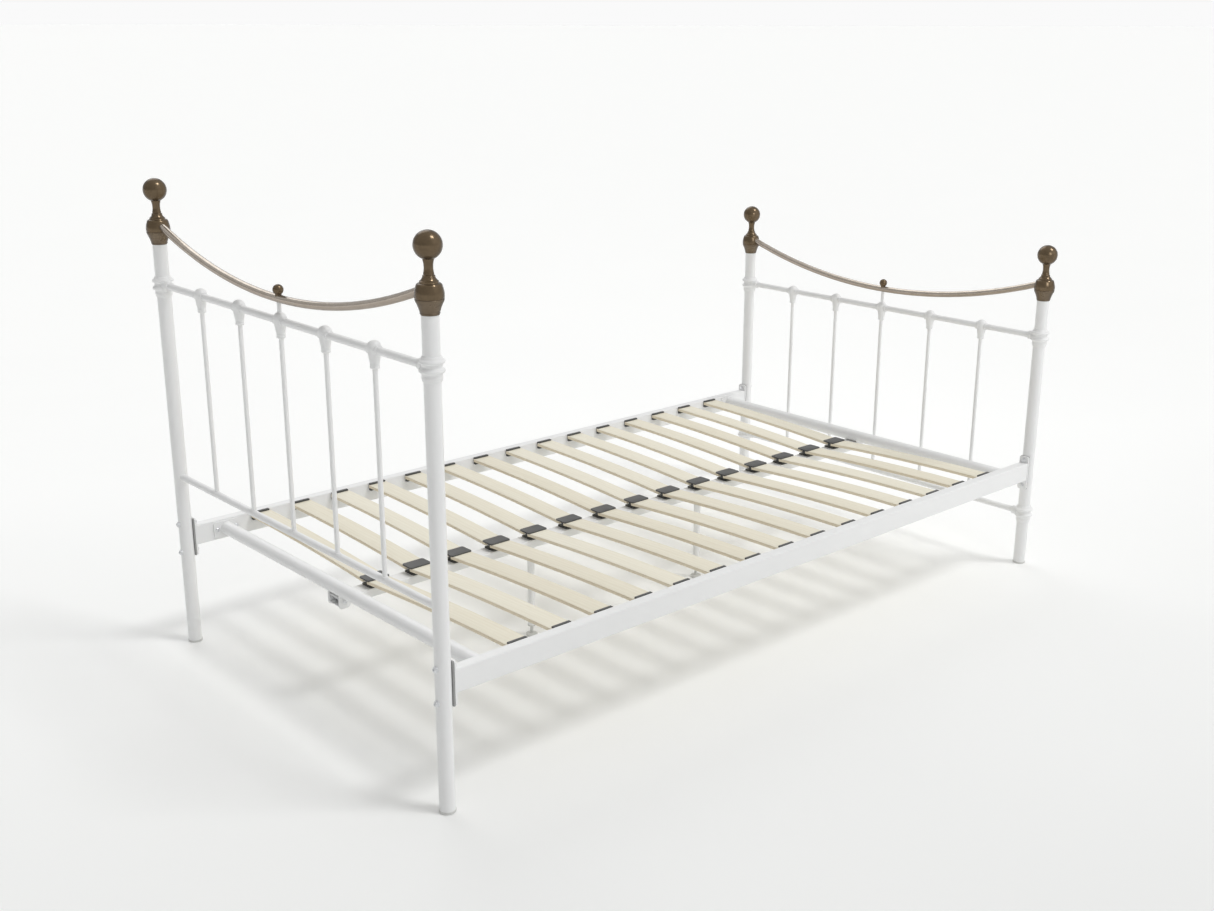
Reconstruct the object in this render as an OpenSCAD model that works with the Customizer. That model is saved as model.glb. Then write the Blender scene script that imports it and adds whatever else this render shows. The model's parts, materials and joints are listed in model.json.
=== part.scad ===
// Metal bedstead for a mattress: a tall head end and a low foot end, each with two posts
// under ball finials, a dipped top rail, a cross bar and five spindles, joined by two side
// rails that carry two rows of bowed wooden slats on a centre beam with two adjustable legs.
// +X runs from the head end to the foot end, +Y from the front side to the back side,
// and +Z up. The origin is on the floor, under the middle of the bed. Millimetres.

/* [Bed] */
// Between the centres of the head posts and the foot posts, along the bed
bed_length = 1970; // [1750:10:2300]
// Between the centres of the front posts and the back posts, across the bed
bed_width = 1052; // [900:4:1260]
// Top face of the side rails above the floor
rail_top = 297.5; // [288:0.5:340]

/* [Posts] */
// Outside diameter of a post tube
post_dia = 32; // [30:0.5:35]
// Wall of a post tube
post_wall = 1.5; // [1:0.1:2.5]
// Top of a head post tube above the floor
head_post_top = 995.5; // [985:0.5:1200]
// Top of a foot post tube above the floor
foot_post_top = 767.5; // [757:0.5:960]
// Diameter of the foot cap under a post
glide_dia = 34; // [32:0.5:40]
// Height of the foot cap below the post tube
glide_height = 5; // [3:0.5:10]
// Height of the plug that holds a cap or a finial in its tube
plug_height = 24; // [12:1:40]
// Gap all round between a plug and the tube that it is pushed into
plug_gap = 0.1; // [0.05:0.05:0.3]

/* [Finials] */
// Diameter of the ball
ball_dia = 52; // [46:0.5:56]
// Centre of the ball above the top of the post tube
ball_rise = 98.5; // [96:0.5:101]
// Largest diameter of the bulb
belly_dia = 53; // [51:0.5:55]
// Centre of the bulb above the top of the post tube
belly_rise = 11.5; // [9:0.5:13]
// Smallest diameter of the neck under the ball
neck_dia = 16.6; // [15:0.2:18]
// Top diameter of the collar under the bulb
collar_dia = 52.4; // [50:0.2:54]
// Drop of the collar below the top of the post
collar_height = 22.5; // [20:0.5:26]
// Rise of the collar above the top of the post
collar_rise = 6; // [4:0.5:8]

/* [Top rails] */
// Diameter of a dipped top rail
dip_dia = 16.5; // [14:0.5:18]
// Wall of a dipped top rail
dip_wall = 1.2; // [0.8:0.1:2]
// Ends of a dipped rail above the top of the post tubes
dip_rise = 18; // [15:0.5:20]
// Dip of the head rail at its middle
head_dip = 88.5; // [40:0.5:93]
// Dip of the foot rail at its middle
foot_dip = 83.5; // [40:0.5:88]
// How far a rail's end sits inside the bulb of a finial
dip_seat = 5; // [3:0.5:8]
// Diameter of the small ball on the middle of a top rail
bead_dia = 22; // [20:0.5:26]
// How far the small ball sinks over its rail
bead_sink = 1.2; // [0.6:0.1:2]

/* [Cross bars and spindles] */
// Outside diameter of a cross bar
bar_dia = 16; // [14:0.5:17]
// Wall of a cross bar
bar_wall = 1.2; // [0.8:0.1:2]
// Upper bar of the head end above the floor
head_bar_z = 880; // [830:1:883]
// Lower bar of the head end above the floor
head_low_z = 423.5; // [380:0.5:500]
// Upper bar of the foot end above the floor
foot_bar_z = 647; // [600:1:652]
// Lower bar of the foot end above the floor
foot_low_z = 148.5; // [110:0.5:180]
// Spindles in each end
spindle_count = 5; // [3:2:7]
// Between the centres of two spindles
spindle_pitch = 171.5; // [110:0.5:180]
// Diameter of a spindle
spindle_dia = 10; // [8:0.5:11]
// Diameter of the short stem between the middle joint and the top rail
stem_dia = 9; // [7:0.5:10]

/* [Joint castings] */
// Widest diameter of a spindle joint
knuckle_dia = 28; // [26:0.5:30]
// Top of a spindle joint above the centre of its bar
knuckle_top = 18; // [17:0.5:21]
// Bottom of a spindle joint below the centre of its bar
knuckle_drop = 36; // [34:0.5:42]
// Outside diameter of the rings round a post
ring_dia = 48; // [47:0.5:53]
// Top of a post casting above the centre of its bar
casting_top = 21; // [20:0.5:24]
// Bottom of a post casting below the centre of its bar
casting_drop = 26; // [25:0.5:32]
// Reach of a casting's bar socket from the centre of the post
socket_reach = 35; // [32:0.5:42]

/* [Side rails] */
// Height of a side rail
rail_height = 50; // [46:0.5:56]
// Depth of a side rail, across the bed
rail_depth = 25; // [22:0.5:28]
// Wall of a side rail
rail_wall = 1.5; // [1.2:0.1:2.5]
// Outside corner radius of a side rail
rail_corner = 3; // [2:0.5:5]
// Width of the plate on the end of a rail
plate_width = 27; // [26:0.5:34]
// Thickness of the plate
plate_thick = 4; // [3:0.5:6]
// Plate above the rail's top face
plate_above = 17.5; // [15:0.5:24]
// Plate below the rail's bottom face
plate_below = 25.5; // [22:0.5:32]
// Width of the spacer strip between a post and a plate
strip_width = 24; // [18:1:26]
// Thickness of the spacer strip at its thinnest
strip_thick = 2; // [1.5:0.5:4]

/* [Fasteners] */
// Shank diameter of a bolt
bolt_dia = 6; // [5:0.5:7]
// Bolt hole minus bolt diameter
bolt_play = 0.5; // [0.2:0.1:1]
// Upper rail bolt above the rail's top face
bolt_above = 7; // [6.5:0.5:9]
// Lower rail bolt below the rail's bottom face
bolt_below = 13.5; // [8:0.5:16]
// Across the flats of a nut
nut_flats = 10; // [9:0.5:11]
// Height of a nut
nut_height = 5; // [4:0.5:6]
// Diameter of a bolt head
head_dia = 11; // [10:0.5:12]
// Height of a bolt head
head_height = 3.6; // [3:0.2:5]
// Thickness of the saddle washer at the crest of the post
washer_thick = 1.4; // [1:0.1:3]
// Diameter of the saddle washer
washer_dia = 14; // [13:0.5:16]

/* [Cross rails and beam] */
// Outside diameter of a round cross rail
cross_dia = 32; // [28:0.5:34]
// Wall of a cross rail
cross_wall = 1.5; // [1.2:0.1:2.5]
// Cross rail inwards from the post line
cross_inset = 98; // [70:1:110]
// Centre of a cross rail below the rail's top face
cross_drop = 23.5; // [22:0.5:25]
// Length of a cross rail's end flange, along the bed
flange_length = 66; // [64:1:72]
// Height of a cross rail's end flange
flange_height = 38; // [36:1:42]
// Thickness of a cross rail's end flange
flange_thick = 4; // [3:0.5:5]
// Width of the centre beam
beam_width = 40; // [36:1:46]
// Height of the centre beam
beam_height = 20; // [18:0.5:24]
// Wall of the centre beam
beam_wall = 1.5; // [1.2:0.1:2.5]
// Beam end inwards from the post line
beam_inset = 86; // [74:1:88]
// Width of an ear that carries the beam
ear_width = 28; // [26:0.5:31]
// Thickness of an ear
ear_thick = 3; // [2:0.5:4]
// Ear below the bottom of the beam
ear_below = 5; // [4:0.5:12]

/* [Centre legs] */
// Centre leg nearer the head end, from the middle of the bed
leg_head_x = -350; // [-500:5:-200]
// Centre leg nearer the foot end, from the middle of the bed
leg_foot_x = 226; // [150:5:500]
// Outside diameter of a centre leg
leg_dia = 18; // [16.5:0.5:22]
// Wall of a centre leg
leg_wall = 1.5; // [1:0.1:2]
// Bottom of a centre leg above the floor
leg_gap = 30; // [28:1:40]
// Diameter of a levelling foot
foot_dia = 28; // [24:1:36]
// Height of a levelling foot's pad
foot_pad = 8; // [6:0.5:10]
// Diameter of a levelling foot's stud
stud_dia = 8; // [6:0.5:10]
// Gap all round the stud in its insert
stud_gap = 0.05; // [0.03:0.01:0.1]
// Length of a stud above its pad
stud_length = 50; // [40:1:60]
// Height of the insert inside its leg
insert_height = 20; // [15:1:30]

/* [Slats] */
// Slats in each row
slat_count = 15; // [10:1:16]
// Between the centres of two slats, along the bed
slat_pitch = 113.5; // [90:0.5:114]
// Width of a slat
slat_width = 53; // [50:0.5:56]
// Thickness of a slat
slat_thick = 8; // [7:0.5:9]
// Rise of a slat's middle above the line between its ends
slat_bow = 4; // [4:0.5:16]

/* [Slat holders] */
// Height of a side holder
side_height = 20; // [19:0.5:24]
// Length of a side holder, along the bed
side_length = 46; // [40:1:48]
// Reach of a side holder from its rail
side_reach = 8; // [7:0.5:12]
// Back of a side holder, behind the slat's end
side_back = 3; // [2:0.5:4]
// Top of a side holder above the slat
side_lid = 4; // [3:0.5:5]
// Height of a centre holder
mid_height = 20; // [20:0.5:26]
// Length of a centre holder's top plate, along the bed
mid_length = 57; // [54:1:62]
// Width of a centre holder's top plate, across the bed
mid_width = 38; // [34:0.5:40]
// Thickness of a centre holder's top plate
mid_lid = 3.5; // [3:0.5:5]
// Thickness of a centre holder's web
mid_web = 12; // [10:0.5:14]
// Length of a centre holder's web, along the bed
mid_web_length = 40; // [36:1:46]
// Gap between a slat's end and the plastic behind it
slat_gap = 1; // [0.5:0.5:2]
// Diameter of a holder's peg
peg_dia = 5; // [4:0.5:6]
// Half the distance between a holder's two pegs
peg_half = 13; // [10:0.5:15]
// Peg hole minus peg diameter
peg_play = 0.2; // [0.1:0.1:0.5]

/* [Hidden] */
$fn = 64;

white = [0.95, 0.95, 0.94];
bronze = [0.37, 0.32, 0.24];
pale_bronze = [0.62, 0.55, 0.45];
birch = [0.92, 0.88, 0.80];
charcoal = [0.33, 0.33, 0.32];
black = [0.10, 0.10, 0.10];
zinc = [0.75, 0.76, 0.78];
pale_plastic = [0.90, 0.90, 0.89];

half_l = bed_length / 2;
half_w = bed_width / 2;
post_bore = post_dia - 2 * post_wall;
plug_dia = post_bore - 2 * plug_gap;
hole_dia = bolt_dia + bolt_play;
rail_bottom = rail_top - rail_height;
bolt_zs = [rail_bottom - bolt_below, rail_top + bolt_above];
plate_out = post_dia / 2 + strip_thick;
plate_in = plate_out + plate_thick;
rail_face = half_w - rail_depth / 2;
cross_x = half_l - cross_inset;
cross_z = rail_top - cross_drop;
screw_half = flange_length / 2 - 8;
beam_top = cross_z - cross_dia / 2;
beam_z = beam_top - beam_height / 2;
beam_half = half_l - beam_inset;
ear_top = cross_z - cross_dia / 4;
ear_bottom = beam_top - beam_height - ear_below;
leg_top = beam_top - beam_height;
slat_end_out = rail_face - side_back - slat_gap;
slat_end_in = mid_web / 2 + slat_gap;
slat_z_out = rail_top - side_lid - slat_thick / 2;
slat_z_in = beam_top + mid_height - mid_lid - slat_thick / 2;
knuckle_foot = knuckle_dia / 2 - 4.6;
ball_seat = ball_rise - 98.5;
eps = 1;

// ---- shared forms ----

module rounded(w, h, r) {
    square([w - 2 * r, h], center = true);
    square([w, h - 2 * r], center = true);
    for (x = [-1, 1], y = [-1, 1])
        translate([x * (w / 2 - r), y * (h / 2 - r)]) circle(r = r);
}

module along_x(length) {
    rotate([90, 0, 90]) linear_extrude(length, center = true) children();
}

module x_rod(d, length) {
    rotate([0, 90, 0]) cylinder(d = d, h = length, center = true);
}

module y_rod(d, length) {
    rotate([90, 0, 0]) cylinder(d = d, h = length, center = true);
}

module at_post(sx, sy, z = 0) {
    translate([sx * half_l, sy * half_w, z]) children();
}

module both_posts(sx) {
    for (sy = [-1, 1]) at_post(sx, sy) cylinder(d = post_dia, h = head_post_top);
}

module post(sx, sy, top) {
    at_post(sx, sy, glide_height) difference() {
        cylinder(d = post_dia, h = top - glide_height);
        translate([0, 0, -eps]) cylinder(d = post_bore, h = top - glide_height + 2 * eps);
        for (z = bolt_zs)
            translate([0, 0, z - glide_height]) x_rod(hole_dia, post_dia + 2 * eps);
    }
}

// ---- finials ----

module finial_profile() {
    r = belly_dia / 2;
    intersection() {
        translate([r - 45, belly_rise]) circle(r = 45);
        translate([0, collar_rise]) square([2 * r, belly_rise + 15.5 - collar_rise]);
    }
    square([post_dia / 2 - plug_gap, collar_rise + eps]);
    translate([r - 9.3, belly_rise + 15.5]) circle(r = 6.4);
    translate([0, belly_rise]) square([r - 9.3, 21.9]);
    difference() {
        translate([0, 30]) square([r - 9.3, 18.5]);
        translate([24.5, 48.5]) circle(r = 14);
    }
    translate([9.6, 44.8]) circle(r = 1.8);
    difference() {
        translate([0, 46]) square([13, 30 + ball_seat]);
        translate([neck_dia / 2 + 45, 60.5]) circle(r = 45);
    }
    intersection() {
        translate([0, ball_rise]) circle(d = ball_dia);
        translate([0, ball_rise - ball_dia]) square(2 * ball_dia);
    }
}

module finial(sx, sy, top, dip) {
    difference() {
        at_post(sx, sy, top) union() {
            rotate_extrude() finial_profile();
            translate([0, 0, -plug_height]) cylinder(d = plug_dia, h = plug_height + eps);
        }
        dip_rail(sx, top, dip);
    }
}

module collar(sx, sy, top) {
    r = collar_dia / 2;
    h = collar_height;
    c = collar_rise;
    p = post_dia / 2;
    at_post(sx, sy, top) rotate_extrude() polygon([
        [p, c], [r - 0.6, c], [r, c - 0.8], [r - 0.3, c - 2.6], [r - 3, c - 8.5],
        [r - 4.6, c - 12.5], [p + 2.4, 6 - h], [p + 1.3, 4 - h], [p + 1.3, 0.6 - h],
        [p + 0.7, -h], [p, -h]]);
}

// ---- dipped top rails ----

function dip_span() = half_w - belly_dia / 2 + dip_seat;
function dip_radius(dip) = (dip_span() * dip_span() + dip * dip) / (2 * dip);

module dip_curve(sx, top, dip, d, bore) {
    radius = dip_radius(dip);
    half = asin(dip_span() / radius);
    translate([sx * half_l, 0, top + dip_rise - dip + radius])
        rotate([90, 0, 90])
        rotate([0, 0, -90 - half])
        rotate_extrude(angle = 2 * half, $fn = 720)
        translate([radius, 0]) difference() {
            circle(d = d, $fn = 48);
            if (bore > 0) circle(d = bore, $fn = 48);
        }
}

module dip_rail(sx, top, dip) {
    dip_curve(sx, top, dip, dip_dia, 0);
}

module top_rail(sx, top, dip) {
    dip_curve(sx, top, dip, dip_dia, dip_dia - 2 * dip_wall);
}

module rail_bead(sx, top, dip) {
    low = top + dip_rise - dip;
    difference() {
        translate([sx * half_l, 0, low]) union() {
            translate([0, 0, dip_dia / 2 + bead_dia / 2 - bead_sink]) sphere(d = bead_dia);
            cylinder(d = bead_dia * 0.62, h = dip_dia / 2 + 2.4);
        }
        dip_rail(sx, top, dip);
        translate([sx * half_l, 0, low - dip_dia]) cube([60, 60, 2 * dip_dia], center = true);
    }
}

// ---- cross bars, spindles and castings ----

module cross_bar(sx, z) {
    difference() {
        translate([sx * half_l, 0, z]) y_rod(bar_dia, bed_width);
        translate([sx * half_l, 0, z]) y_rod(bar_dia - 2 * bar_wall, bed_width + 2 * eps);
        both_posts(sx);
    }
}

module solid_bar(sx, z) {
    translate([sx * half_l, 0, z]) y_rod(bar_dia, bed_width + 2 * eps);
}

function spindle_ys() = [for (i = [0 : spindle_count - 1])
    (i - (spindle_count - 1) / 2) * spindle_pitch];

module spindles(sx, low_z, bar_z) {
    for (y = spindle_ys()) difference() {
        translate([sx * half_l, y, low_z])
            cylinder(d = spindle_dia, h = bar_z - knuckle_drop + 16 - low_z);
        solid_bar(sx, low_z);
    }
}

module knuckle_profile() {
    r = knuckle_dia / 2;
    translate([0, knuckle_top - r]) circle(r = r);
    polygon([[0, knuckle_top - r], [r * 0.993, knuckle_top - r * 1.12],
        [knuckle_foot - 0.4, 8 - knuckle_drop], [0, 8 - knuckle_drop]]);
    translate([0, -knuckle_drop]) square([knuckle_foot - 0.9, 10]);
    translate([knuckle_foot - 1.4, 3 - knuckle_drop]) circle(r = 1.6);
    translate([knuckle_foot - 1.4, 8 - knuckle_drop]) circle(r = 1.6);
}

module half_plane() {
    intersection() {
        children();
        translate([0, -200]) square([200, 400]);
    }
}

module knuckle(sx, y, z) {
    difference() {
        translate([sx * half_l, y, z]) union() {
            rotate_extrude() half_plane() knuckle_profile();
            y_rod(bar_dia + 4.4, knuckle_dia + 7);
            for (s = [-1, 1])
                translate([0, s * (knuckle_dia / 2 + 3), 0]) y_rod(bar_dia + 6.4, 3);
        }
        solid_bar(sx, z);
        translate([sx * half_l, y, z - knuckle_drop - eps]) cylinder(d = spindle_dia, h = 17);
        if (y == 0)
            translate([sx * half_l, 0, z + knuckle_top - 7]) cylinder(d = stem_dia, h = 20);
    }
}

module stem(sx, bar_z, top, dip) {
    from = bar_z + knuckle_top - 7;
    difference() {
        translate([sx * half_l, 0, from])
            cylinder(d = stem_dia, h = top + dip_rise - dip - from);
        dip_rail(sx, top, dip);
    }
}

module casting_profile() {
    p = post_dia / 2;
    w = ring_dia / 2 - 5;
    polygon([[p, -casting_drop], [p + 1.4, -casting_drop], [p + 1.8, 3.5 - casting_drop],
        [w, -17], [w, casting_top - 4], [w - 1, casting_top - 1.4],
        [p + 1.2, casting_top], [p, casting_top]]);
    translate([ring_dia / 2 - 3.8, 11]) circle(r = 3.8);
    translate([ring_dia / 2 - 4.2, -5.5]) circle(r = 4.2);
}

module casting(sx, sy, z) {
    difference() {
        at_post(sx, sy, z) union() {
            rotate_extrude() casting_profile();
            rotate([90 * sy, 0, 0]) cylinder(d1 = bar_dia + 12, d2 = bar_dia + 4, h = socket_reach);
            rotate([90 * sy, 0, 0]) translate([0, 0, socket_reach - 4])
                cylinder(d = bar_dia + 6.4, h = 3);
        }
        at_post(sx, sy, z - 60) cylinder(d = post_dia, h = 120);
        solid_bar(sx, z);
    }
}

// ---- side rails and their fixings ----

module peg_holes_side(sy) {
    for (x = slat_xs(), s = [-1, 1])
        translate([x + s * peg_half, sy * (rail_face + rail_wall / 2),
            rail_top - side_height / 2])
            y_rod(peg_dia + peg_play, rail_wall + 2 * eps);
}

module side_rail(sy) {
    difference() {
        translate([0, sy * half_w, rail_top - rail_height / 2])
            along_x(bed_length - 2 * plate_in) difference() {
                rounded(rail_depth, rail_height, rail_corner);
                rounded(rail_depth - 2 * rail_wall, rail_height - 2 * rail_wall,
                    max(rail_corner - rail_wall, 0.5));
            }
        peg_holes_side(sy);
        for (sx = [-1, 1], s = [-1, 1])
            translate([sx * cross_x + s * screw_half, sy * (rail_face + rail_wall / 2), cross_z])
                y_rod(hole_dia, rail_wall + 2 * eps);
    }
}

module rail_plate(sx, sy) {
    h = rail_height + plate_above + plate_below;
    difference() {
        translate([sx * (half_l - plate_out - plate_thick / 2), sy * half_w,
            rail_bottom - plate_below + h / 2])
            along_x(plate_thick) rounded(plate_width, h, 5);
        for (z = bolt_zs) translate([sx * (half_l - plate_out), sy * half_w, z])
            x_rod(hole_dia, 4 * plate_thick);
    }
}

module plate_strip(sx, sy) {
    h = rail_height + plate_above + plate_below;
    depth = strip_thick + 1.5;
    x = half_l - plate_out + depth / 2;
    difference() {
        translate([sx * x, sy * half_w, rail_bottom - plate_below + h / 2])
            cube([depth, strip_width, h], center = true);
        at_post(sx, sy) cylinder(d = post_dia, h = head_post_top);
        for (z = bolt_zs) translate([sx * x, sy * half_w, z]) x_rod(hole_dia, 20);
    }
}

module saddle_washer(sx, sy, z) {
    difference() {
        translate([sx * (half_l + post_dia / 2 - 2), sy * half_w, z])
            rotate([0, 90 * sx, 0]) cylinder(d = washer_dia, h = 2 + washer_thick);
        at_post(sx, sy) cylinder(d = post_dia, h = head_post_top);
        translate([sx * half_l, sy * half_w, z]) x_rod(hole_dia, 2 * post_dia);
    }
}

module bolt_head() {
    difference() {
        union() {
            cylinder(d = head_dia, h = head_height - 1.4);
            translate([0, 0, head_height - 1.4])
                cylinder(d1 = head_dia, d2 = head_dia - 3.6, h = 1.4);
        }
        translate([0, 0, head_height - 2]) cylinder(d = 4.6, h = 3, $fn = 6);
    }
}

module rail_bolt(sx, sy, z) {
    seat = half_l + post_dia / 2 + washer_thick;
    length = seat - half_l + plate_in + nut_height + 1.5;
    translate([sx * seat, sy * half_w, z]) rotate([0, 90 * sx, 0]) union() {
        bolt_head();
        translate([0, 0, -length]) cylinder(d = bolt_dia, h = length + 0.5);
    }
}

module nut() {
    difference() {
        cylinder(d = nut_flats / cos(30), h = nut_height, $fn = 6);
        translate([0, 0, -eps]) cylinder(d = bolt_dia, h = nut_height + 2 * eps);
    }
}

// ---- cross rails and centre beam ----

module cross_rail(sx) {
    length = 2 * (rail_face - flange_thick);
    translate([sx * cross_x, 0, cross_z]) difference() {
        y_rod(cross_dia, length);
        y_rod(cross_dia - 2 * cross_wall, length + 2 * eps);
    }
}

module cross_flange(sx, sy) {
    difference() {
        translate([sx * cross_x, sy * (rail_face - flange_thick / 2), cross_z])
            rotate([90, 0, 0]) linear_extrude(flange_thick, center = true)
            rounded(flange_length, flange_height, 6);
        for (s = [-1, 1])
            translate([sx * cross_x + s * screw_half, sy * rail_face, cross_z])
                y_rod(hole_dia, 3 * flange_thick);
    }
}

module flange_screw(sx, sy, s) {
    translate([sx * cross_x + s * screw_half, sy * (rail_face - flange_thick), cross_z])
        rotate([90 * sy, 0, 0]) union() {
            bolt_head();
            translate([0, 0, -14]) cylinder(d = bolt_dia, h = 14.5);
        }
}

module beam() {
    difference() {
        translate([0, 0, beam_z]) along_x(2 * beam_half) difference() {
            rounded(beam_width, beam_height, 2.5);
            rounded(beam_width - 2 * beam_wall, beam_height - 2 * beam_wall, 1);
        }
        for (x = slat_xs(), s = [-1, 1])
            translate([x + s * peg_half, 0, beam_top - beam_wall - eps])
                cylinder(d = peg_dia + peg_play, h = beam_wall + 2 * eps);
        for (sx = [-1, 1])
            translate([sx * cross_x, 0, beam_z]) y_rod(hole_dia, 2 * beam_width);
    }
}

module ear(sx, sy) {
    h = ear_top - ear_bottom;
    difference() {
        translate([sx * cross_x, sy * (beam_width / 2 + ear_thick / 2), ear_bottom])
            rotate([90, 0, 0]) linear_extrude(ear_thick, center = true) union() {
                translate([-ear_width / 2, 7]) square([ear_width, h - 7]);
                translate([7 - ear_width / 2, 0]) square([ear_width - 14, h]);
                for (s = [-1, 1])
                    translate([s * (ear_width / 2 - 7), 7]) circle(r = 7);
            }
        translate([sx * cross_x, 0, cross_z]) y_rod(cross_dia, 2 * beam_width);
        translate([sx * cross_x, 0, beam_z]) y_rod(hole_dia, 2 * beam_width);
    }
}

module ear_bolt(sx) {
    length = beam_width + 2 * ear_thick + nut_height + 2;
    translate([sx * cross_x, -beam_width / 2 - ear_thick, beam_z])
        rotate([90, 0, 0]) union() {
            bolt_head();
            translate([0, 0, -length]) cylinder(d = bolt_dia, h = length + 0.5);
        }
}

// ---- centre legs ----

module leg(x) {
    translate([x, 0, leg_gap]) difference() {
        cylinder(d = leg_dia, h = leg_top - leg_gap);
        translate([0, 0, -eps])
            cylinder(d = leg_dia - 2 * leg_wall, h = leg_top - leg_gap + 2 * eps);
    }
}

module leg_insert(x) {
    translate([x, 0, leg_gap]) difference() {
        union() {
            translate([0, 0, -3]) cylinder(d = leg_dia + 2, h = 3);
            translate([0, 0, -eps])
                cylinder(d = leg_dia - 2 * leg_wall - 2 * plug_gap, h = insert_height + eps);
        }
        translate([0, 0, -5]) cylinder(d = stud_dia + 2 * stud_gap, h = insert_height + 10);
    }
}

module level_foot(x) {
    translate([x, 0, 0]) union() {
        cylinder(d1 = foot_dia - 2, d2 = foot_dia, h = 2);
        translate([0, 0, 2]) cylinder(d = foot_dia, h = foot_pad - 4);
        translate([0, 0, foot_pad - 2]) cylinder(d1 = foot_dia, d2 = foot_dia - 8, h = 2);
        cylinder(d = stud_dia, h = foot_pad + stud_length);
    }
}

// ---- slats and holders ----

function slat_xs() = [for (i = [0 : slat_count - 1]) (i - (slat_count - 1) / 2) * slat_pitch];

module slat_arc() {
    chord = norm([slat_end_out - slat_end_in, slat_z_out - slat_z_in]);
    tilt = atan2(slat_z_out - slat_z_in, slat_end_out - slat_end_in);
    radius = (chord * chord / 4 + slat_bow * slat_bow) / (2 * slat_bow);
    translate([(slat_end_out + slat_end_in) / 2, (slat_z_out + slat_z_in) / 2])
        rotate(tilt) translate([0, slat_bow - radius]) difference() {
            circle(r = radius + slat_thick / 2, $fn = 1440);
            circle(r = radius - slat_thick / 2, $fn = 1440);
        }
}

module slat_band(gap) {
    intersection() {
        slat_arc();
        translate([slat_end_in - gap, slat_z_in - 60])
            square([slat_end_out - slat_end_in + 2 * gap, 160]);
    }
}

module flip(sy) {
    if (sy < 0) mirror([0, 1, 0]) children();
    else children();
}

module slats(sy) {
    flip(sy) for (x = slat_xs()) translate([x, 0, 0]) along_x(slat_width) slat_band(0);
}

module side_holders(sy) {
    flip(sy) for (x = slat_xs()) translate([x, 0, 0]) union() {
        along_x(side_length) difference() {
            translate([rail_face - side_reach, rail_top - side_height])
                square([side_reach, side_height]);
            slat_band(slat_gap);
        }
        for (s = [-1, 1])
            translate([s * peg_half, rail_face + rail_wall / 2, rail_top - side_height / 2])
                y_rod(peg_dia, rail_wall + 2);
    }
}

module centre_holder(x) {
    translate([x, 0, 0]) difference() {
        union() {
            translate([0, 0, beam_top + mid_height - mid_lid])
                linear_extrude(mid_lid) rounded(mid_length, mid_width, 5);
            translate([0, 0, beam_top + mid_height / 2])
                cube([mid_web_length, mid_web, mid_height - 0.2], center = true);
            translate([0, 0, beam_top]) linear_extrude(mid_height - mid_lid - slat_thick + 0.5)
                rounded(slat_width - 8, mid_width, 4);
            for (s = [-1, 1]) translate([s * peg_half, 0, beam_top - beam_wall - 2])
                cylinder(d = peg_dia, h = 4);
        }
        for (sy = [-1, 1]) flip(sy) along_x(2 * mid_length) slat_band(slat_gap);
    }
}

// ---- sub-parts ----

module head_post_front() { color(white) post(-1, -1, head_post_top); }
module head_post_back() { color(white) post(-1, 1, head_post_top); }
module foot_post_front() { color(white) post(1, -1, foot_post_top); }
module foot_post_back() { color(white) post(1, 1, foot_post_top); }

module post_glides() {
    color(pale_plastic) for (sx = [-1, 1], sy = [-1, 1]) at_post(sx, sy) union() {
        cylinder(d1 = glide_dia - 2, d2 = glide_dia, h = 1);
        translate([0, 0, 1]) cylinder(d = glide_dia, h = glide_height - 1);
        cylinder(d = plug_dia, h = glide_height + plug_height);
    }
}

module head_finial_front() { color(bronze) finial(-1, -1, head_post_top, head_dip); }
module head_finial_back() { color(bronze) finial(-1, 1, head_post_top, head_dip); }
module foot_finial_front() { color(bronze) finial(1, -1, foot_post_top, foot_dip); }
module foot_finial_back() { color(bronze) finial(1, 1, foot_post_top, foot_dip); }

module finial_collars() {
    color(bronze) for (sy = [-1, 1]) {
        collar(-1, sy, head_post_top);
        collar(1, sy, foot_post_top);
    }
}

module head_top_rail() { color(pale_bronze) top_rail(-1, head_post_top, head_dip); }
module foot_top_rail() { color(pale_bronze) top_rail(1, foot_post_top, foot_dip); }
module head_rail_bead() { color(bronze) rail_bead(-1, head_post_top, head_dip); }
module foot_rail_bead() { color(bronze) rail_bead(1, foot_post_top, foot_dip); }

module head_upper_bar() { color(white) cross_bar(-1, head_bar_z); }
module head_lower_bar() { color(white) cross_bar(-1, head_low_z); }
module foot_upper_bar() { color(white) cross_bar(1, foot_bar_z); }
module foot_lower_bar() { color(white) cross_bar(1, foot_low_z); }

module head_spindles() { color(white) spindles(-1, head_low_z, head_bar_z); }
module foot_spindles() { color(white) spindles(1, foot_low_z, foot_bar_z); }
module head_stem() { color(white) stem(-1, head_bar_z, head_post_top, head_dip); }
module foot_stem() { color(white) stem(1, foot_bar_z, foot_post_top, foot_dip); }

module head_knuckles() {
    color(white) for (y = spindle_ys()) knuckle(-1, y, head_bar_z);
}

module foot_knuckles() {
    color(white) for (y = spindle_ys()) knuckle(1, y, foot_bar_z);
}

module head_post_castings() { color(white) for (sy = [-1, 1]) casting(-1, sy, head_bar_z); }
module foot_post_castings() { color(white) for (sy = [-1, 1]) casting(1, sy, foot_bar_z); }
module foot_low_castings() { color(white) for (sy = [-1, 1]) casting(1, sy, foot_low_z); }

module side_rail_front() { color(white) side_rail(-1); }
module side_rail_back() { color(white) side_rail(1); }
module rail_plates_front() { color(white) for (sx = [-1, 1]) rail_plate(sx, -1); }
module rail_plates_back() { color(white) for (sx = [-1, 1]) rail_plate(sx, 1); }

module plate_strips() {
    color(black) for (sx = [-1, 1], sy = [-1, 1]) plate_strip(sx, sy);
}

module rail_bolts() {
    color(zinc) for (sx = [-1, 1], sy = [-1, 1], z = bolt_zs) rail_bolt(sx, sy, z);
}

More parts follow.
